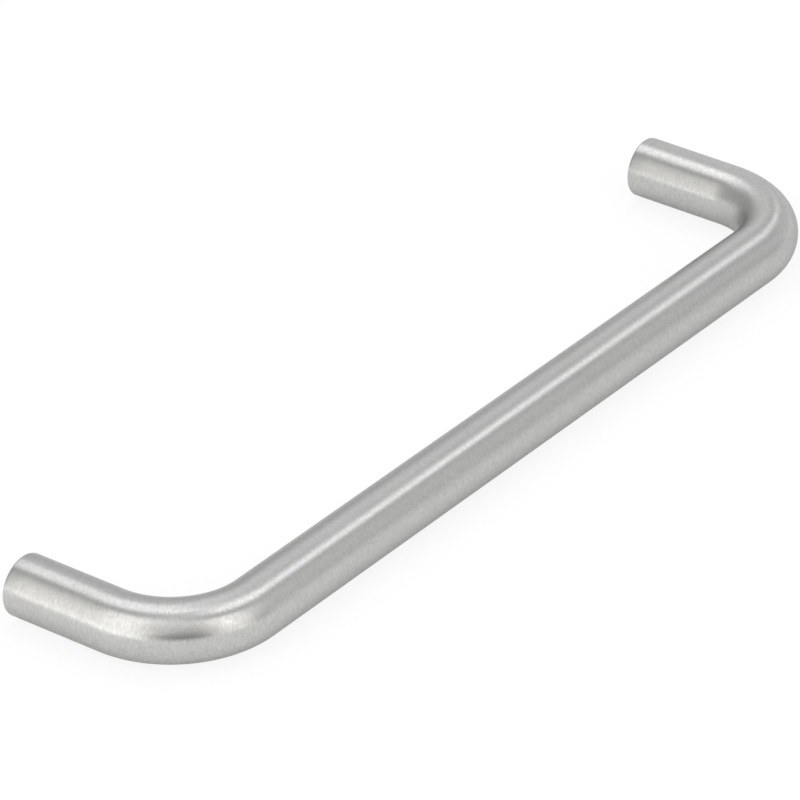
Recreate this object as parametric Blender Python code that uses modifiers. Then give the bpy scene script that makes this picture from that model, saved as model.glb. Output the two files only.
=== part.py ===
"""U-shaped cabinet handle: one solid round bar bent into a U, with a tapped blind hole in the end of each foot.

Lengths are in metres. X runs along the bar, +Y points at the furniture that the feet are screwed to, and +Z is
up when the handle is fitted with its bar level. The origin is at the middle of the handle seen from above, at
the height of its underside, so the handle also lies flat on its side with its underside at zero.

The bar is a bevelled curve along half of the U. A turned cutter sinks the hole into the foot, and a mirror
makes the other half.
"""

import math

import bmesh
import bpy

OBJECT_NAME = "u_shaped_cabinet_handle"

# Driving dimensions of the bent bar
ROD_DIAMETER = 0.010
HOLE_SPACING = 0.160  # between the axes of the two feet
PROJECTION = 0.0370  # from the mounting plane to the front of the bar
BEND_RADIUS = 0.015  # of the bar's centreline
FOOT_CHAMFER = 0.0004

# Driving dimensions of the blind hole in each foot, drilled for an M4 x 0.7 thread
TAP_DRILL_DIAMETER = 0.0033
DRILL_DEPTH = 0.012  # of the full diameter, without the drill's point
DRILL_POINT_ANGLE = math.radians(118.0)
COUNTERSINK_DIAMETER = 0.0044
COUNTERSINK_ANGLE = math.radians(90.0)

# Fineness of the round surfaces
ROD_SIDES = 48
BEND_STEPS = 24
HOLE_SIDES = 32
CHAMFER_MIN_ANGLE = math.radians(60.0)

# Points closer together than this are one point
WELD_DISTANCE = 0.00001

# Worked out from the driving dimensions
ROD_RADIUS = ROD_DIAMETER / 2
FOOT_X = HOLE_SPACING / 2
FOOT_LENGTH = PROJECTION - ROD_RADIUS  # from the bar's axis to the mounting plane
BAR_Y = ROD_RADIUS - PROJECTION / 2
MOUNTING_PLANE_Y = BAR_Y + FOOT_LENGTH

STEEL_COLOUR = (0.56, 0.56, 0.55, 1.0)
STEEL_ROUGHNESS = 0.3


def clear_scene():
    for item in list(bpy.data.objects):
        bpy.data.objects.remove(item, do_unlink=True)


def new_collection(name):
    collection = bpy.data.collections.new(name)
    bpy.context.scene.collection.children.link(collection)
    return collection


def satin_steel():
    material = bpy.data.materials.new("satin_stainless_steel")
    material.use_nodes = True
    shader = material.node_tree.nodes["Principled BSDF"]
    shader.inputs["Base Color"].default_value = STEEL_COLOUR
    shader.inputs["Metallic"].default_value = 1.0
    shader.inputs["Roughness"].default_value = STEEL_ROUGHNESS
    return material


def half_centreline():
    """Points from just past the middle of the bar, along it, round the bend and to the end of the foot.

    They are measured from the middle of the bar's axis. The stretch past the middle is cut off by the mirror.
    """
    points = [(-ROD_DIAMETER, 0.0)]
    bend_centre_x = FOOT_X - BEND_RADIUS
    for step in range(BEND_STEPS + 1):
        turn = math.radians(90.0) * step / BEND_STEPS
        x = bend_centre_x + BEND_RADIUS * math.sin(turn)
        y = BEND_RADIUS * (1.0 - math.cos(turn))
        points.append((x, y))
    points.append((FOOT_X, FOOT_LENGTH))
    return points


def half_bar_curve(collection):
    """The round bar as a curve with a round bevel and filled ends."""
    curve = bpy.data.curves.new("half_bar", "CURVE")
    curve.dimensions = "3D"
    curve.bevel_depth = ROD_RADIUS
    curve.bevel_resolution = (ROD_SIDES - 4) // 2
    curve.use_fill_caps = True
    points = half_centreline()
    spline = curve.splines.new("POLY")
    spline.points.add(len(points) - 1)
    for point, (x, y) in zip(spline.points, points):
        point.co = (x, y, 0.0, 1.0)
    bar = bpy.data.objects.new("half_bar", curve)
    bar.location = (0.0, BAR_Y, ROD_RADIUS)
    collection.objects.link(bar)
    return bar


def solid_from_curve(curve_object, name, collection):
    """The curve's surface as a closed mesh, in the curve's place. The curve is removed."""
    bpy.context.view_layer.update()
    evaluated = curve_object.evaluated_get(bpy.context.evaluated_depsgraph_get())
    mesh = bpy.data.meshes.new_from_object(evaluated)
    mesh.name = name
    shape = bmesh.new()
    shape.from_mesh(mesh)
    bmesh.ops.remove_doubles(shape, verts=shape.verts, dist=WELD_DISTANCE)
    shape.to_mesh(mesh)
    shape.free()
    solid = bpy.data.objects.new(name, mesh)
    solid.matrix_world = curve_object.matrix_world.copy()
    collection.objects.link(solid)
    bpy.data.objects.remove(curve_object, do_unlink=True)
    return solid


def hole_profile():
    """Half of the drilled and countersunk hole's outline: radius and height, from its mouth down to its tip."""
    mouth_clearance = COUNTERSINK_DIAMETER / 2
    mouth_radius = COUNTERSINK_DIAMETER / 2
    drill_radius = TAP_DRILL_DIAMETER / 2
    slope = math.tan(COUNTERSINK_ANGLE / 2)
    countersink_depth = (mouth_radius - drill_radius) / slope
    point_length = drill_radius / math.tan(DRILL_POINT_ANGLE / 2)
    return [
        (0.0, mouth_clearance),
        (mouth_radius + mouth_clearance * slope, mouth_clearance),
        (drill_radius, -countersink_depth),
        (drill_radius, -DRILL_DEPTH),
        (0.0, -DRILL_DEPTH - point_length),
    ]


def hole_cutter(collection):
    """The hole's form turned about its axis, standing in the right foot with its mouth on the mounting plane."""
    profile = hole_profile()
    points = [(radius, 0.0, height) for radius, height in profile]
    edges = [(index, index + 1) for index in range(len(points) - 1)]
    mesh = bpy.data.meshes.new("tapped_hole_cutter")
    mesh.from_pydata(points, edges, [])
    cutter = bpy.data.objects.new("tapped_hole_cutter", mesh)
    cutter.location = (FOOT_X, MOUNTING_PLANE_Y, ROD_RADIUS)
    cutter.rotation_euler = (math.radians(-90.0), 0.0, 0.0)
    cutter.hide_render = True
    cutter.display_type = "WIRE"
    collection.objects.link(cutter)
    screw = cutter.modifiers.new("turned", "SCREW")
    screw.axis = "Z"
    screw.steps = HOLE_SIDES
    screw.render_steps = HOLE_SIDES
    screw.use_merge_vertices = True
    screw.merge_threshold = WELD_DISTANCE
    screw.use_smooth_shade = True
    return cutter


def chamfer_the_end(solid):
    bevel = solid.modifiers.new("foot_chamfer", "BEVEL")
    bevel.width = FOOT_CHAMFER
    bevel.segments = 1
    bevel.limit_method = "ANGLE"
    bevel.angle_limit = CHAMFER_MIN_ANGLE


def cut(solid, cutter):
    boolean = solid.modifiers.new(cutter.name, "BOOLEAN")
    boolean.operation = "DIFFERENCE"
    boolean.solver = "EXACT"
    boolean.object = cutter


def mirror_the_half(solid):
    mirror = solid.modifiers.new("other_half", "MIRROR")
    mirror.use_axis = (True, False, False)
    mirror.use_bisect_axis = (True, False, False)
    mirror.merge_threshold = WELD_DISTANCE


def shade_flat_faces_flat(solid):
    """Large faces rule the shading, so the end faces look flat beside the smooth bar."""
    weighted = solid.modifiers.new("even_shading", "WEIGHTED_NORMAL")
    weighted.weight = 100


def make_handle(parts, cutters):
    bar = half_bar_curve(parts)
    handle = solid_from_curve(bar, "handle", parts)
    handle.data.materials.clear()
    handle.data.materials.append(satin_steel())
    handle.data.shade_smooth()
    chamfer_the_end(handle)
    cut(handle, hole_cutter(cutters))
    mirror_the_half(handle)
    shade_flat_faces_flat(handle)
    return handle


def main():
    clear_scene()
    parts = new_collection(OBJECT_NAME)
    cutters = new_collection("cutters")
    make_handle(parts, cutters)


main()
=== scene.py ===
"""The looks of the U-shaped cabinet handle: its satin steel, its faced and tapped feet, and a photo studio.

Lengths are in metres, in the frame of the CAD model: X runs along the bar, and +Y points at the furniture
that the feet are screwed to. The handle lies on its side with its underside at zero. One mesh replaces the
CAD solid. It has the same outline, and adds the rounded edges of the feet and the threads in their holes.
"""

import math

import bmesh
import bpy
from mathutils import Matrix, Vector


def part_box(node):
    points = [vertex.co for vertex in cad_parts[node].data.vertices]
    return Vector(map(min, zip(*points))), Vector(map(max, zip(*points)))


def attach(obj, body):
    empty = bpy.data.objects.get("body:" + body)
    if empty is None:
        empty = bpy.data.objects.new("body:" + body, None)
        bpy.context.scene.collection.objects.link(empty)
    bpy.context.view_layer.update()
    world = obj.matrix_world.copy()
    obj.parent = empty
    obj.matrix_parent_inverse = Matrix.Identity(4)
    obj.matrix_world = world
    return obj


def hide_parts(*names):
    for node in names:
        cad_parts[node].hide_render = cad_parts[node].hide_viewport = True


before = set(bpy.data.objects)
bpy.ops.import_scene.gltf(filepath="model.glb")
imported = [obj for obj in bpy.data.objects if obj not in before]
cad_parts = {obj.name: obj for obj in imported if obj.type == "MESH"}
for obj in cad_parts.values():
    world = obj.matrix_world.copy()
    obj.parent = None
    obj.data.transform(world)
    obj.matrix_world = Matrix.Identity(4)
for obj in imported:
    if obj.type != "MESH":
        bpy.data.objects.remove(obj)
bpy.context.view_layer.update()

# The bent bar, from the CAD model's box
LOWEST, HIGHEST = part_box("handle")
ROD_RADIUS = (HIGHEST.z - LOWEST.z) / 2
AXIS_HEIGHT = LOWEST.z + ROD_RADIUS
FOOT_X = HIGHEST.x - ROD_RADIUS
BAR_Y = LOWEST.y + ROD_RADIUS
MOUNTING_PLANE_Y = HIGHEST.y
BEND_RADIUS = 0.015
EDGE_ROUNDING = 0.0004  # of the feet's outer edges, where the CAD model has its chamfer

# The M4 x 0.7 tapped hole in each foot
DRILL_RADIUS = 0.00165
DRILL_DEPTH = 0.012
DRILL_POINT_HALF_ANGLE = math.radians(59.0)
DRILL_POINT_LENGTH = DRILL_RADIUS / math.tan(DRILL_POINT_HALF_ANGLE)
THREAD_RADIUS = 0.0020
THREAD_PITCH = 0.0007
THREAD_SIDE_SLOPE = math.radians(30.0)  # from square to the hole's axis
THREAD_ROOT_SHARE = 1.0 / 8.0  # of the pitch
THREAD_FULL_DEPTH = 0.0090
THREAD_END_DEPTH = 0.0106
COUNTERSINK_RADIUS = 0.0022
COUNTERSINK_DEPTH = COUNTERSINK_RADIUS - THREAD_RADIUS  # it slopes at 45 degrees
EDGE_BREAK = 0.00006  # of the countersink's edge, and of the rings that keep the end face flat beside it
THREAD_SNAP = 0.000004  # points of the thread this near its first or last ring fall on the ring

# Distances along the centreline, from the middle of the bar
BEND_START = FOOT_X - BEND_RADIUS
BEND_END = BEND_START + BEND_RADIUS * math.pi / 2
FOOT_END = BEND_END + MOUNTING_PLANE_Y - BAR_Y - BEND_RADIUS

# Fineness of the mesh
SIDES = 120
BAR_STEPS = 20
BEND_STEPS = 40
FOOT_STEPS = 6
EDGE_STEPS = 6
THREAD_STEPS = 3  # along the thread's crest and along each of its sides
SEAM_ANGLE = math.radians(-90.0)  # the mesh's columns start and end underneath
SHARP_ANGLE = math.radians(32.0)

# Which material a face takes
SATIN, FACED, TAPPED = range(3)

UP = Vector((0.0, 0.0, 1.0))


def centreline(along):
    """A point of the bar's centreline, and the direction from it that points out of the U."""
    side = 1.0 if along >= 0.0 else -1.0
    distance = abs(along)
    if distance <= BEND_START:
        turn = 0.0
        x = distance
        y = 0.0
    elif distance <= BEND_END:
        turn = (distance - BEND_START) / BEND_RADIUS
        x = BEND_START + BEND_RADIUS * math.sin(turn)
        y = BEND_RADIUS * (1.0 - math.cos(turn))
    else:
        turn = math.pi / 2
        x = FOOT_X
        y = BEND_RADIUS + distance - BEND_END
    outward = Vector((side * math.sin(turn), -math.cos(turn), 0.0))
    return Vector((side * x, BAR_Y + y, AXIS_HEIGHT)), outward


def column_angle(column):
    return SEAM_ANGLE + 2 * math.pi * column / SIDES


def round_the_bar(column):
    """How far round the bar's girth a column lies."""
    return 2 * math.pi * ROD_RADIUS * column / SIDES


class Skin:
    """The handle's surface while it is built.

    Each point also has its place on the bar before bending, which carries the steel's grain round the bends.
    """

    def __init__(self):
        self.points = []
        self.straight_places = []
        self.faces = []
        self.face_uvs = []
        self.face_finishes = []

    def add_point(self, along, radius, column):
        angle = column_angle(column)
        across = radius * math.cos(angle)
        height = radius * math.sin(angle)
        centre, outward = centreline(along)
        self.points.append(centre + outward * across + UP * height)
        self.straight_places.append((along, across, height))
        return len(self.points) - 1

    def add_ring(self, along, radius):
        return [self.add_point(along, radius, column) for column in range(SIDES)]

    def add_face(self, corners, uvs, finish):
        """Adds a face, and leaves out a corner that repeats. U runs along the surface, V round the bar."""
        kept = []
        kept_uvs = []
        for corner, uv in zip(corners, uvs):
            if corner not in kept:
                kept.append(corner)
                kept_uvs.append(uv)
        if len(kept) < 3:
            return
        self.faces.append(kept)
        self.face_uvs.append(kept_uvs)
        self.face_finishes.append(finish)

    def join_rings(self, ring, travel, next_ring, next_travel, finish):
        """A band of faces between two rings, whose travels are their distances over the surface."""
        for column in range(SIDES):
            following = (column + 1) % SIDES
            corners = (ring[column], ring[following], next_ring[following], next_ring[column])
            left = round_the_bar(column)
            right = round_the_bar(column + 1)
            uvs = ((travel, left), (travel, right), (next_travel, right), (next_travel, left))
            self.add_face(corners, uvs, finish)


def half_outline():
    """Rings from the bar's middle to the top of a thread: distance along the centreline, radius, finish."""
    outline = []
    for step in range(1, BAR_STEPS + 1):
        outline.append((BEND_START * step / BAR_STEPS, ROD_RADIUS, SATIN))
    for step in range(1, BEND_STEPS + 1):
        outline.append((BEND_START + (BEND_END - BEND_START) * step / BEND_STEPS, ROD_RADIUS, SATIN))
    edge_start = FOOT_END - EDGE_ROUNDING
    for step in range(1, FOOT_STEPS + 1):
        outline.append((BEND_END + (edge_start - BEND_END) * step / FOOT_STEPS, ROD_RADIUS, SATIN))
    for step in range(1, EDGE_STEPS + 1):
        turn = math.pi / 2 * step / EDGE_STEPS
        along = edge_start + EDGE_ROUNDING * math.sin(turn)
        radius = ROD_RADIUS - EDGE_ROUNDING * (1.0 - math.cos(turn))
        outline.append((along, radius, SATIN))
    outline.append((FOOT_END, ROD_RADIUS - EDGE_ROUNDING - EDGE_BREAK, FACED))
    outline.append((FOOT_END, COUNTERSINK_RADIUS + 2 * EDGE_BREAK, FACED))
    outline.append((FOOT_END, COUNTERSINK_RADIUS + EDGE_BREAK, FACED))
    outline.append((FOOT_END - EDGE_BREAK, COUNTERSINK_RADIUS - EDGE_BREAK, TAPPED))
    outline.append((FOOT_END - COUNTERSINK_DEPTH, THREAD_RADIUS, TAPPED))
    return outline


def thread_rows():
    """The rows of points in one turn of the thread: share of the pitch, and share of the thread's depth."""
    depth = THREAD_RADIUS - DRILL_RADIUS
    side = depth * math.tan(THREAD_SIDE_SLOPE) / THREAD_PITCH
    crest = 1.0 - THREAD_ROOT_SHARE - 2 * side
    stretches = (
        (crest, 0.0, 0.0, THREAD_STEPS),
        (side, 0.0, 1.0, THREAD_STEPS),
        (THREAD_ROOT_SHARE, 1.0, 1.0, 1),
        (side, 1.0, 0.0, THREAD_STEPS),
    )
    rows = []
    start = 0.0
    for width, first_share, last_share, steps in stretches:
        for step in range(steps):
            part = step / steps
            rows.append((start + width * part, first_share + (last_share - first_share) * part))
        start += width
    return rows


def thread_radius(share, depth):
    """The hole's radius. The tap's lead fades the thread out below, and the countersink cuts its top."""
    fade = (THREAD_END_DEPTH - depth) / (THREAD_END_DEPTH - THREAD_FULL_DEPTH)
    fade = min(1.0, max(0.0, fade))
    cut = DRILL_RADIUS + (THREAD_RADIUS - DRILL_RADIUS) * share * fade
    return max(cut, COUNTERSINK_RADIUS - depth)


def add_tapped_hole(skin, side, top_ring, top_travel):
    """A right-hand thread, whose rows of points follow the helix down the hole, then the drilled end."""
    rows = thread_rows()
    turn_rows = len(rows)
    bottom_ring = skin.add_ring(side * (FOOT_END - THREAD_END_DEPTH), DRILL_RADIUS)
    made = {}

    def depth_at(row, column):
        turns, step = divmod(row, turn_rows)
        return (turns + rows[step][0] + side * column / SIDES) * THREAD_PITCH

    def corner(row, column):
        if column == SIDES:
            row += side * turn_rows
            column = 0
        depth = depth_at(row, column)
        if depth <= COUNTERSINK_DEPTH + THREAD_SNAP:
            return top_ring[column]
        if depth >= THREAD_END_DEPTH - THREAD_SNAP:
            return bottom_ring[column]
        if (row, column) not in made:
            radius = thread_radius(rows[row % turn_rows][1], depth)
            made[row, column] = skin.add_point(side * (FOOT_END - depth), radius, column)
        return made[row, column]

    def surface_uv(row, column):
        depth = min(max(depth_at(row, column), COUNTERSINK_DEPTH), THREAD_END_DEPTH)
        return (top_travel + side * (depth - COUNTERSINK_DEPTH), round_the_bar(column))

    # A row runs one turn up or down the hole, so the rows start above the thread and end below it
    first_row = -2 * turn_rows
    last_row = (math.ceil(THREAD_END_DEPTH / THREAD_PITCH) + 1) * turn_rows
    for row in range(first_row, last_row):
        for column in range(SIDES):
            places = ((row, column), (row, column + 1), (row + 1, column + 1), (row + 1, column))
            corners = [corner(*place) for place in places]
            skin.add_face(corners, [surface_uv(*place) for place in places], TAPPED)

    bottom_travel = top_travel + side * (THREAD_END_DEPTH - COUNTERSINK_DEPTH)
    drill_ring = skin.add_ring(side * (FOOT_END - DRILL_DEPTH), DRILL_RADIUS)
    drill_travel = bottom_travel + side * (DRILL_DEPTH - THREAD_END_DEPTH)
    skin.join_rings(bottom_ring, bottom_travel, drill_ring, drill_travel, TAPPED)
    tip = skin.add_point(side * (FOOT_END - DRILL_DEPTH - DRILL_POINT_LENGTH), 0.0, 0)
    tip_travel = drill_travel + side * math.hypot(DRILL_RADIUS, DRILL_POINT_LENGTH)
    skin.join_rings(drill_ring, drill_travel, [tip] * SIDES, tip_travel, TAPPED)


def add_half(skin, side, middle_ring):
    """The half of the handle at +X for side 1, and at -X for side -1."""
    ring = middle_ring
    along, radius, travel = 0.0, ROD_RADIUS, 0.0
    for next_along, next_radius, finish in half_outline():
        next_travel = travel + math.hypot(next_along - along, next_radius - radius)
        next_ring = skin.add_ring(side * next_along, next_radius)
        skin.join_rings(ring, side * travel, next_ring, side * next_travel, finish)
        ring, along, radius, travel = next_ring, next_along, next_radius, next_travel
    add_tapped_hole(skin, side, ring, side * travel)


def make_handle_mesh():
    skin = Skin()
    middle_ring = skin.add_ring(0.0, ROD_RADIUS)
    add_half(skin, 1, middle_ring)
    add_half(skin, -1, middle_ring)

    mesh = bpy.data.meshes.new("bent_bar")
    mesh.from_pydata(skin.points, [], skin.faces)
    uv_layer = mesh.uv_layers.new(name="along_the_bar")
    flat_uvs = [uv for face_uvs in skin.face_uvs for uv in face_uvs]
    for loop_uv, uv in zip(uv_layer.data, flat_uvs):
        loop_uv.uv = uv
    places = mesh.attributes.new("straight_bar", "FLOAT_VECTOR", "POINT")
    for item, place in zip(places.data, skin.straight_places):
        item.vector = place
    for polygon, finish in zip(mesh.polygons, skin.face_finishes):
        polygon.material_index = finish

    shape = bmesh.new()
    shape.from_mesh(mesh)
    bmesh.ops.recalc_face_normals(shape, faces=shape.faces)
    shape.to_mesh(mesh)
    shape.free()
    mesh.shade_smooth()
    mesh.set_sharp_from_angle(angle=SHARP_ANGLE)
    return mesh


def add_node(tree, kind, values=None, **settings):
    node = tree.nodes.new(kind)
    for name, value in settings.items():
        setattr(node, name, value)
    for name, value in (values or {}).items():
        node.inputs[name].default_value = value
    return node


def remapped(tree, value, low, high, new_low, new_high, interpolation="LINEAR"):
    ends = {"From Min": low, "From Max": high, "To Min": new_low, "To Max": new_high}
    node = add_node(tree, "ShaderNodeMapRange", ends, interpolation_type=interpolation)
    tree.links.new(value, node.inputs["Value"])
    return node.outputs["Result"]


def combined(tree, operation, first, second=0.0):
    """A sum, product or other operation on two values, or on the first alone."""
    node = add_node(tree, "ShaderNodeMath", operation=operation)
    for socket, value in zip(node.inputs, (first, second)):
        if isinstance(value, (int, float)):
            socket.default_value = value
        else:
            tree.links.new(value, socket)
    return node.outputs["Value"]


# Noise values lie mostly between these
NOISE_LOW = 0.3
NOISE_HIGH = 0.7

# Steel reflects less at grazing angles than the plain Fresnel curve gives it
STEEL_EDGE_TINT = (0.70, 0.70, 0.70, 1.0)


def straight_bar_axes(tree):
    """Place along the bar as it was before bending, and across and above its axis."""
    place = add_node(tree, "ShaderNodeAttribute", attribute_name="straight_bar")
    axes = add_node(tree, "ShaderNodeSeparateXYZ")
    tree.links.new(place.outputs["Vector"], axes.inputs["Vector"])
    return [axes.outputs[axis] for axis in "XYZ"]


def straight_bar_noise(tree, size, detail=2.0, roughness=0.5):
    """Noise on the bar before bending, with cells of this size along the bar and across its section."""
    along_size, across_size = size
    place = add_node(tree, "ShaderNodeAttribute", attribute_name="straight_bar")
    scale = (1.0 / along_size, 1.0 / across_size, 1.0 / across_size)
    scaled = add_node(tree, "ShaderNodeMapping", {"Scale": scale}, vector_type="POINT")
    noise = add_node(tree, "ShaderNodeTexNoise", {"Scale": 1.0, "Detail": detail, "Roughness": roughness})
    tree.links.new(place.outputs["Vector"], scaled.inputs["Vector"])
    tree.links.new(scaled.outputs["Vector"], noise.inputs["Vector"])
    return noise.outputs["Fac"]


def spread(tree, noise, low, high):
    """The noise's usual range, spread from the low to the high value."""
    return remapped(tree, noise, NOISE_LOW, NOISE_HIGH, low, high)


def uneven_surface(tree, noise, other_noise, share):
    """The height of a surface, from 0 to 1: one noise gives this share of it, and the other the rest."""
    first = spread(tree, noise, 0.0, share)
    return combined(tree, "ADD", first, spread(tree, other_noise, 0.0, 1.0 - share))


def tinted(tree, share, dark, light):
    node = add_node(tree, "ShaderNodeMix", data_type="RGBA")
    first, second = [socket for socket in node.inputs if socket.type == "RGBA"]
    first.default_value = (*dark, 1.0)
    second.default_value = (*light, 1.0)
    tree.links.new(share, node.inputs["Factor"])
    return [socket for socket in node.outputs if socket.type == "RGBA"][0]


def metal(name, anisotropy):
    """Steel whose highlights stretch across its grain, because the grain runs round the bar's axis."""
    material = bpy.data.materials.new(name)
    material.use_nodes = True
    tree = material.node_tree
    shader = tree.nodes["Principled BSDF"]
    shader.inputs["Metallic"].default_value = 1.0
    shader.inputs["Anisotropic"].default_value = anisotropy
    shader.inputs["Specular Tint"].default_value = STEEL_EDGE_TINT
    tangent = add_node(tree, "ShaderNodeTangent", direction_type="UV_MAP", uv_map="along_the_bar")
    tree.links.new(tangent.outputs["Tangent"], shader.inputs["Tangent"])
    return material, tree, shader


def finish_metal(tree, shader, surface, dark, light, roughness, bump):
    """The metal's colour and bump from the height of its surface, and its roughness."""
    tree.links.new(tinted(tree, surface, dark, light), shader.inputs["Base Color"])
    tree.links.new(roughness, shader.inputs["Roughness"])
    bumps = add_node(tree, "ShaderNodeBump", {"Strength": 1.0, "Distance": bump})
    tree.links.new(surface, bumps.inputs["Height"])
    tree.links.new(bumps.outputs["Normal"], shader.inputs["Normal"])


# The satin bar. Sizes of its grain, speckle and patches are along the bar, and across its section.
SATIN_ANISOTROPY = 0.58
GRAIN_SIZE = (0.00016, 0.0009)
GRAIN_SHARE = 0.65
SPECKLE_SIZE = (0.00040, 0.00055)
PATCH_SIZE = (0.012, 0.006)
SATIN_DARK = (0.422, 0.422, 0.419)
SATIN_LIGHT = (0.580, 0.580, 0.576)
SATIN_SMOOTHEST = 0.285
SATIN_ROUGHEST = 0.325
GRAIN_ROUGHNESS = 0.05  # more in the grain's hollows, and less on its crests
RUBBED_START = 0.0009  # before the foot's end, and rubbed in full from here:
RUBBED_FULL = 0.0003
RUBBED_SMOOTHER = 0.05
SATIN_BUMP = 0.000005


def satin_steel():
    """Stainless bar, ground round its girth and lightly matted. Its feet's edges are rubbed smoother."""
    material, tree, shader = metal("satin_stainless_steel", SATIN_ANISOTROPY)
    grain = straight_bar_noise(tree, GRAIN_SIZE, detail=3.0, roughness=0.6)
    speckle = straight_bar_noise(tree, SPECKLE_SIZE)
    surface = uneven_surface(tree, grain, speckle, GRAIN_SHARE)

    fine = remapped(tree, surface, 0.0, 1.0, GRAIN_ROUGHNESS, -GRAIN_ROUGHNESS)
    broad = spread(tree, straight_bar_noise(tree, PATCH_SIZE), SATIN_SMOOTHEST, SATIN_ROUGHEST)
    along, _, _ = straight_bar_axes(tree)
    from_middle = combined(tree, "ABSOLUTE", along)
    start = FOOT_END - RUBBED_START
    full = FOOT_END - RUBBED_FULL
    rubbed = remapped(tree, from_middle, start, full, 0.0, -RUBBED_SMOOTHER, "SMOOTHSTEP")
    roughness = combined(tree, "ADD", combined(tree, "ADD", fine, broad), rubbed)
    finish_metal(tree, shader, surface, SATIN_DARK, SATIN_LIGHT, roughness, SATIN_BUMP)
    return material


# The faced ends of the feet
FACED_ANISOTROPY = 0.45
FACED_PATCH_SIZE = (0.0030, 0.0011)
RING_WIDTH = 0.00009
RING_DRIFT = 0.00006  # how far the rings wander from true circles
RING_SHARE = 0.75
FACED_DARK = (0.43, 0.43, 0.426)
FACED_LIGHT = (0.57, 0.57, 0.566)
FACED_HOLLOW_ROUGHNESS = 0.34
FACED_CREST_ROUGHNESS = 0.22
FACED_BUMP = 0.000008


def faced_steel():
    """The rings that the facing tool's point left, a little uneven, over light and dark patches."""
    material, tree, shader = metal("faced_steel_end", FACED_ANISOTROPY)
    _, across, height = straight_bar_axes(tree)
    across_square = combined(tree, "MULTIPLY", across, across)
    height_square = combined(tree, "MULTIPLY", height, height)
    from_axis = combined(tree, "SQRT", combined(tree, "ADD", across_square, height_square))
    patches = straight_bar_noise(tree, FACED_PATCH_SIZE)
    radius = combined(tree, "ADD", from_axis, spread(tree, patches, 0.0, RING_DRIFT))
    rings = add_node(tree, "ShaderNodeTexNoise", {"Scale": 1.0, "Detail": 2.0}, noise_dimensions="1D")
    tree.links.new(combined(tree, "DIVIDE", radius, RING_WIDTH), rings.inputs["W"])
    surface = uneven_surface(tree, rings.outputs["Fac"], patches, RING_SHARE)
    roughness = remapped(tree, surface, 0.0, 1.0, FACED_HOLLOW_ROUGHNESS, FACED_CREST_ROUGHNESS)
    finish_metal(tree, shader, surface, FACED_DARK, FACED_LIGHT, roughness, FACED_BUMP)
    return material


# The cut threads
TAPPED_ANISOTROPY = 0.35
CUT_LINE_SIZE = (0.00005, 0.0016)
CUT_LINE_SHARE = 0.7
TEAR_SIZE = (0.00025, 0.00025)
TAPPED_DARK = (0.38, 0.38, 0.371)
TAPPED_LIGHT = (0.53, 0.53, 0.521)
TAPPED_HOLLOW_ROUGHNESS = 0.36
TAPPED_CREST_ROUGHNESS = 0.22
TAPPED_BUMP = 0.000006


def tapped_steel():
    """The cut steel of the countersink and thread: lines along the cut, and small tears that the tap left."""
    material, tree, shader = metal("tapped_steel_thread", TAPPED_ANISOTROPY)
    cut_lines = straight_bar_noise(tree, CUT_LINE_SIZE, detail=3.0)
    tears = straight_bar_noise(tree, TEAR_SIZE)
    surface = uneven_surface(tree, cut_lines, tears, CUT_LINE_SHARE)
    roughness = remapped(tree, surface, 0.0, 1.0, TAPPED_HOLLOW_ROUGHNESS, TAPPED_CREST_ROUGHNESS)
    finish_metal(tree, shader, surface, TAPPED_DARK, TAPPED_LIGHT, roughness, TAPPED_BUMP)
    return material


def make_handle():
    handle = bpy.data.objects.new("bent_bar", make_handle_mesh())
    bpy.context.scene.collection.objects.link(handle)
    for material in (satin_steel(), faced_steel(), tapped_steel()):
        handle.data.materials.append(material)
    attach(handle, "root")
    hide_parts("handle")


# The studio. From here on angles are in degrees: azimuth 0 is in front of the bar, and 90 on its right.
FLOOR_HALF_WIDTH = 8.0
FLOOR_GAP = 0.00002  # below the handle
FLOOR_COLOUR = (0.93, 0.93, 0.93, 1.0)
FLOOR_ROUGHNESS = 0.9
WHITE = (1.0, 1.0, 1.0, 1.0)
NEUTRAL_LIGHT = (1.0, 1.0, 1.0)
WARM_LIGHT = (1.026, 1.012, 0.960)

# How much of the paper's own light and shadow shows near the handle, to the camera and in the handle's
# reflections. Further out the paper is plain white to both.
SHADOW_SHARE = 0.14
REFLECTED_SHADOW_SHARE = 0.60
FILL_START = 0.10
FILL_END = 0.35

# The white backdrop rises to this angle above the horizon, and fades into the grey room over it
BACKDROP_TOP = 3.0
ROOM_START = 9.0
ROOM_LEVEL = 0.54

# The photographer's side has no backdrop: the studio is dark there down to the floor
OPEN_SIDE_AZIMUTH = -15.0
OPEN_SIDE_DARK_HALF = 40.0
OPEN_SIDE_HALF = 62.0
OPEN_SIDE_TOP = 35.0
OPEN_SIDE_LEVEL = 0.10

# The bright patch of paper at the foot of the left softbox, which the handle mirrors. It is a painted pool of
# light: an emission on the paper, not light from the softbox
GLOW_AZIMUTH = -100.0
GLOW_DISTANCE = 0.60
GLOW_REACH = 0.60
GLOW_RADIANCE = 0.82

# The soft edge of a light, as a share of its distance
EDGE_FADE = 0.20


def sine(degrees):
    return math.sin(math.radians(degrees))


def cosine(degrees):
    return math.cos(math.radians(degrees))


def direction(azimuth, elevation):
    """The unit vector from the handle towards these angles."""
    return Vector((sine(azimuth) * cosine(elevation), -cosine(azimuth) * cosine(elevation), sine(elevation)))


def level_right(azimuth):
    """The level direction that points right for someone who looks from this azimuth at the handle."""
    return Vector((cosine(azimuth), sine(azimuth), 0.0))


def distance_from(tree, place):
    """How far the shaded point of the floor is from a place."""
    here = add_node(tree, "ShaderNodeTexCoord")
    apart = add_node(tree, "ShaderNodeVectorMath", operation="DISTANCE")
    apart.inputs[1].default_value = place
    tree.links.new(here.outputs["Object"], apart.inputs[0])
    return apart.outputs["Value"]


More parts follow.
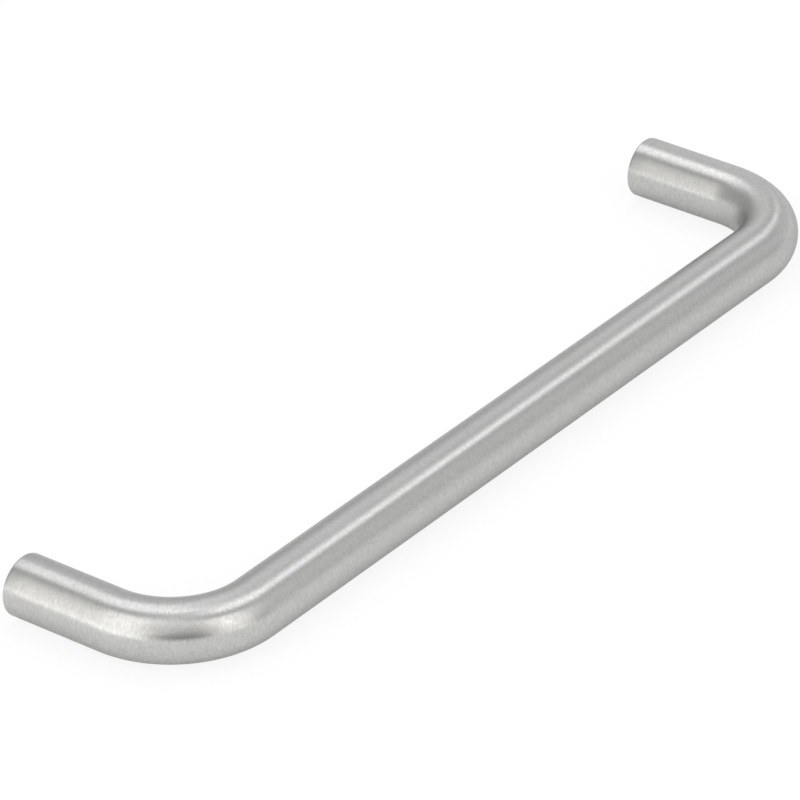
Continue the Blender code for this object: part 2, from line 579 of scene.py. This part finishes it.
def mirrored_painted_light(tree, in_handle):
    """The painted pool of light on the paper, an emission which shows in the handle's reflections alone."""
    place = direction(GLOW_AZIMUTH, 0.0) * GLOW_DISTANCE
    from_place = distance_from(tree, place)
    strength = remapped(tree, from_place, 0.0, GLOW_REACH, GLOW_RADIANCE, 0.0, "SMOOTHSTEP")
    glow = add_node(tree, "ShaderNodeEmission", {"Color": (*WARM_LIGHT, 1.0)})
    tree.links.new(combined(tree, "MULTIPLY", strength, in_handle), glow.inputs["Strength"])
    return glow.outputs["Emission"]


def white_paper():
    """Paper that the camera and the handle's reflections see as nearly plain white, with a faint shadow, and
    with a painted pool of light in the reflections alone.
    """
    material = bpy.data.materials.new("white_paper")
    material.use_nodes = True
    tree = material.node_tree
    lit_paper = tree.nodes["Principled BSDF"]
    lit_paper.inputs["Base Color"].default_value = FLOOR_COLOUR
    lit_paper.inputs["Roughness"].default_value = FLOOR_ROUGHNESS
    lit_paper.inputs["Specular IOR Level"].default_value = 0.0
    plain_white = add_node(tree, "ShaderNodeEmission", {"Color": WHITE, "Strength": 1.0})

    light_path = add_node(tree, "ShaderNodeLightPath")
    glossy = light_path.outputs["Is Glossy Ray"]
    in_handle = combined(tree, "MAXIMUM", glossy, light_path.outputs["Is Transmission Ray"])
    from_handle = distance_from(tree, Vector())
    seen_white = remapped(tree, from_handle, FILL_START, FILL_END, 1.0 - SHADOW_SHARE, 1.0)
    mirrored_white = remapped(tree, from_handle, FILL_START, FILL_END, 1.0 - REFLECTED_SHADOW_SHARE, 1.0)
    to_camera = combined(tree, "MULTIPLY", seen_white, light_path.outputs["Is Camera Ray"])
    to_handle = combined(tree, "MULTIPLY", mirrored_white, in_handle)
    paper = add_node(tree, "ShaderNodeMixShader")
    tree.links.new(combined(tree, "ADD", to_camera, to_handle), paper.inputs["Fac"])
    tree.links.new(lit_paper.outputs["BSDF"], paper.inputs[1])
    tree.links.new(plain_white.outputs["Emission"], paper.inputs[2])

    # Adds the painted pool of light, an emission on the paper that only the handle's reflections see
    paper_with_painted_light = add_node(tree, "ShaderNodeAddShader")
    tree.links.new(paper.outputs["Shader"], paper_with_painted_light.inputs[0])
    tree.links.new(mirrored_painted_light(tree, in_handle), paper_with_painted_light.inputs[1])
    tree.links.new(paper_with_painted_light.outputs["Shader"], tree.nodes["Material Output"].inputs["Surface"])

    # Rays find the white by hitting it, because a light sample can't tell which kind of ray asks
    material.cycles.emission_sampling = "NONE"
    return material


def make_floor():
    half = FLOOR_HALF_WIDTH
    height = LOWEST.z - FLOOR_GAP
    mesh = bpy.data.meshes.new("studio_floor")
    corners = [(-half, -half, height), (half, -half, height), (half, half, height), (-half, half, height)]
    mesh.from_pydata(corners, [], [(0, 1, 2, 3)])
    mesh.materials.append(white_paper())
    floor = bpy.data.objects.new("studio_floor", mesh)
    bpy.context.scene.collection.objects.link(floor)


def make_world():
    """A white backdrop round the horizon, dark on the photographer's side, under a grey room.

    The camera and the steel see the same.
    """
    world = bpy.data.worlds.new("studio")
    bpy.context.scene.world = world
    world.use_nodes = True
    tree = world.node_tree
    towards = add_node(tree, "ShaderNodeTexCoord")
    axes = add_node(tree, "ShaderNodeSeparateXYZ")
    tree.links.new(towards.outputs["Generated"], axes.inputs["Vector"])
    rise = axes.outputs["Z"]
    walls = remapped(tree, rise, sine(BACKDROP_TOP), sine(ROOM_START), 1.0, ROOM_LEVEL, "SMOOTHSTEP")
    open_side = remapped(tree, rise, 0.0, sine(OPEN_SIDE_TOP), OPEN_SIDE_LEVEL, ROOM_LEVEL, "SMOOTHSTEP")

    facing = add_node(tree, "ShaderNodeVectorMath", operation="DOT_PRODUCT")
    facing.inputs[1].default_value = direction(OPEN_SIDE_AZIMUTH, 0.0)
    tree.links.new(towards.outputs["Generated"], facing.inputs[0])
    outside = cosine(OPEN_SIDE_HALF)
    inside = cosine(OPEN_SIDE_DARK_HALF)
    openness = remapped(tree, facing.outputs["Value"], outside, inside, 0.0, 1.0, "SMOOTHSTEP")
    change = combined(tree, "MULTIPLY", openness, combined(tree, "SUBTRACT", open_side, walls))
    background = tree.nodes["Background"]
    background.inputs["Color"].default_value = WHITE
    tree.links.new(combined(tree, "ADD", walls, change), background.inputs["Strength"])


def fade_edges(light, margin):
    """Lets the light fade to nothing over the margin inside its edges."""
    light.use_nodes = True
    tree = light.node_tree
    place = add_node(tree, "ShaderNodeNewGeometry")
    axes = add_node(tree, "ShaderNodeSeparateXYZ")
    tree.links.new(place.outputs["Parametric"], axes.inputs["Vector"])
    shares = []
    for axis, size in (("X", light.size), ("Y", light.size_y)):
        from_middle = combined(tree, "ABSOLUTE", combined(tree, "SUBTRACT", axes.outputs[axis], 0.5))
        shares.append(remapped(tree, from_middle, 0.5 - margin / size, 0.5, 1.0, 0.0, "SMOOTHSTEP"))
    strength = combined(tree, "MULTIPLY", *shares)
    tree.links.new(strength, tree.nodes["Emission"].inputs["Strength"])


def soft_light(name, azimuth, elevation, distance, width, height, roll, pan, tilt, radiance, colour):
    """A rectangular light that faces the handle, rolled about its own axis, panned sideways and tilted up."""
    margin = EDGE_FADE * distance
    light = bpy.data.lights.new(name, "AREA")
    light.shape = "RECTANGLE"
    light.size = width + margin
    light.size_y = height + margin
    light.energy = radiance * math.pi * light.size * light.size_y  # watts over the whole area
    light.color = colour
    fade_edges(light, margin)

    away = direction(azimuth, elevation)
    right = level_right(azimuth)
    facing = Matrix((right, away.cross(right), away)).transposed()
    facing @= Matrix.Rotation(math.radians(roll), 3, "Z")
    facing @= Matrix.Rotation(math.radians(pan), 3, "Y")
    facing @= Matrix.Rotation(math.radians(-tilt), 3, "X")
    lamp = bpy.data.objects.new(name, light)
    lamp.location = Vector((0.0, 0.0, AXIS_HEIGHT)) + away * distance
    lamp.rotation_mode = "QUATERNION"
    lamp.rotation_quaternion = facing.to_quaternion()
    lamp.visible_camera = False
    bpy.context.scene.collection.objects.link(lamp)


def make_lights():
    """Two softboxes, walls on the handle's right, lights overhead, and walls behind it and by the camera."""
    soft_light("left_softbox", azimuth=-97.8, elevation=-3.0, distance=0.50, width=0.44, height=2.15,
               roll=9.3, pan=-12.2, tilt=1.8, radiance=1.33, colour=WARM_LIGHT)
    soft_light("front_softbox", azimuth=-11.0, elevation=5.5, distance=0.50, width=0.29, height=1.17,
               roll=-3.2, pan=-5.9, tilt=-2.6, radiance=1.56, colour=WARM_LIGHT)
    soft_light("right_wall", azimuth=29.6, elevation=12.3, distance=1.46, width=0.95, height=1.94,
               roll=-17.5, pan=3.8, tilt=14.8, radiance=0.32, colour=NEUTRAL_LIGHT)
    soft_light("far_right_wall", azimuth=80.1, elevation=10.6, distance=0.50, width=0.63, height=0.31,
               roll=-15.9, pan=39.6, tilt=19.0, radiance=0.35, colour=NEUTRAL_LIGHT)
    soft_light("overhead_panel", azimuth=-49.7, elevation=73.8, distance=0.87, width=0.49, height=1.02,
               roll=-21.4, pan=-20.0, tilt=-4.8, radiance=0.32, colour=NEUTRAL_LIGHT)
    soft_light("top_right_softbox", azimuth=54.5, elevation=66.0, distance=2.02, width=1.45, height=0.53,
               roll=-29.5, pan=20.8, tilt=5.0, radiance=1.60, colour=NEUTRAL_LIGHT)
    soft_light("top_right_edge", azimuth=72.6, elevation=49.2, distance=0.50, width=0.58, height=0.08,
               roll=-37.1, pan=22.3, tilt=-50.0, radiance=1.17, colour=NEUTRAL_LIGHT)
    soft_light("top_back_softbox", azimuth=160.1, elevation=71.9, distance=2.06, width=0.89, height=1.95,
               roll=3.9, pan=-1.9, tilt=-42.2, radiance=1.26, colour=NEUTRAL_LIGHT)
    soft_light("top_between", azimuth=111.5, elevation=49.8, distance=1.04, width=0.84, height=0.75,
               roll=-21.7, pan=3.2, tilt=4.2, radiance=0.12, colour=NEUTRAL_LIGHT)
    soft_light("rear_right_wall", azimuth=134.9, elevation=39.1, distance=0.50, width=0.36, height=0.55,
               roll=-3.8, pan=-35.4, tilt=1.2, radiance=0.26, colour=NEUTRAL_LIGHT)
    soft_light("camera_wall", azimuth=-63.5, elevation=34.4, distance=1.65, width=1.38, height=1.71,
               roll=-1.2, pan=-23.3, tilt=30.9, radiance=0.32, colour=WARM_LIGHT)


# The camera, as fitted to the outline in the photo
CAMERA_AZIMUTH = -52.295
CAMERA_ELEVATION = 30.789
CAMERA_ROLL = -0.947
CAMERA_DISTANCE = 0.9511
CAMERA_CLIP_START = 0.05
CAMERA_CLIP_END = 20.0
FOCAL_LENGTH_PIXELS = 6130.9
IMAGE_PIXELS = 800
SENSOR_WIDTH = 36.0
BAR_MIDDLE_PIXEL = (514.44, 424.44)


def make_camera():
    """The middle of the bar lies at its pixel of the photo, at the given distance along the line of sight."""
    data = bpy.data.cameras.new("camera")
    data.sensor_fit = "HORIZONTAL"
    data.sensor_width = SENSOR_WIDTH
    data.lens = FOCAL_LENGTH_PIXELS * SENSOR_WIDTH / IMAGE_PIXELS
    data.clip_start = CAMERA_CLIP_START
    data.clip_end = CAMERA_CLIP_END

    back = direction(CAMERA_AZIMUTH, CAMERA_ELEVATION)
    level = level_right(CAMERA_AZIMUTH)
    upright = back.cross(level)
    right = level * cosine(CAMERA_ROLL) + upright * sine(CAMERA_ROLL)
    up = upright * cosine(CAMERA_ROLL) - level * sine(CAMERA_ROLL)
    scale = CAMERA_DISTANCE / FOCAL_LENGTH_PIXELS
    shift_right = (BAR_MIDDLE_PIXEL[0] - IMAGE_PIXELS / 2) * scale
    shift_up = (IMAGE_PIXELS / 2 - BAR_MIDDLE_PIXEL[1]) * scale
    bar_middle = Vector((0.0, BAR_Y, AXIS_HEIGHT))

    camera = bpy.data.objects.new("camera", data)
    camera.location = bar_middle - right * shift_right - up * shift_up + back * CAMERA_DISTANCE
    camera.rotation_mode = "QUATERNION"
    camera.rotation_quaternion = Matrix((right, up, back)).transposed().to_quaternion()
    bpy.context.scene.collection.objects.link(camera)
    bpy.context.scene.camera = camera


bpy.context.scene.view_settings.view_transform = "Standard"
make_handle()
make_floor()
make_world()
make_lights()
make_camera()
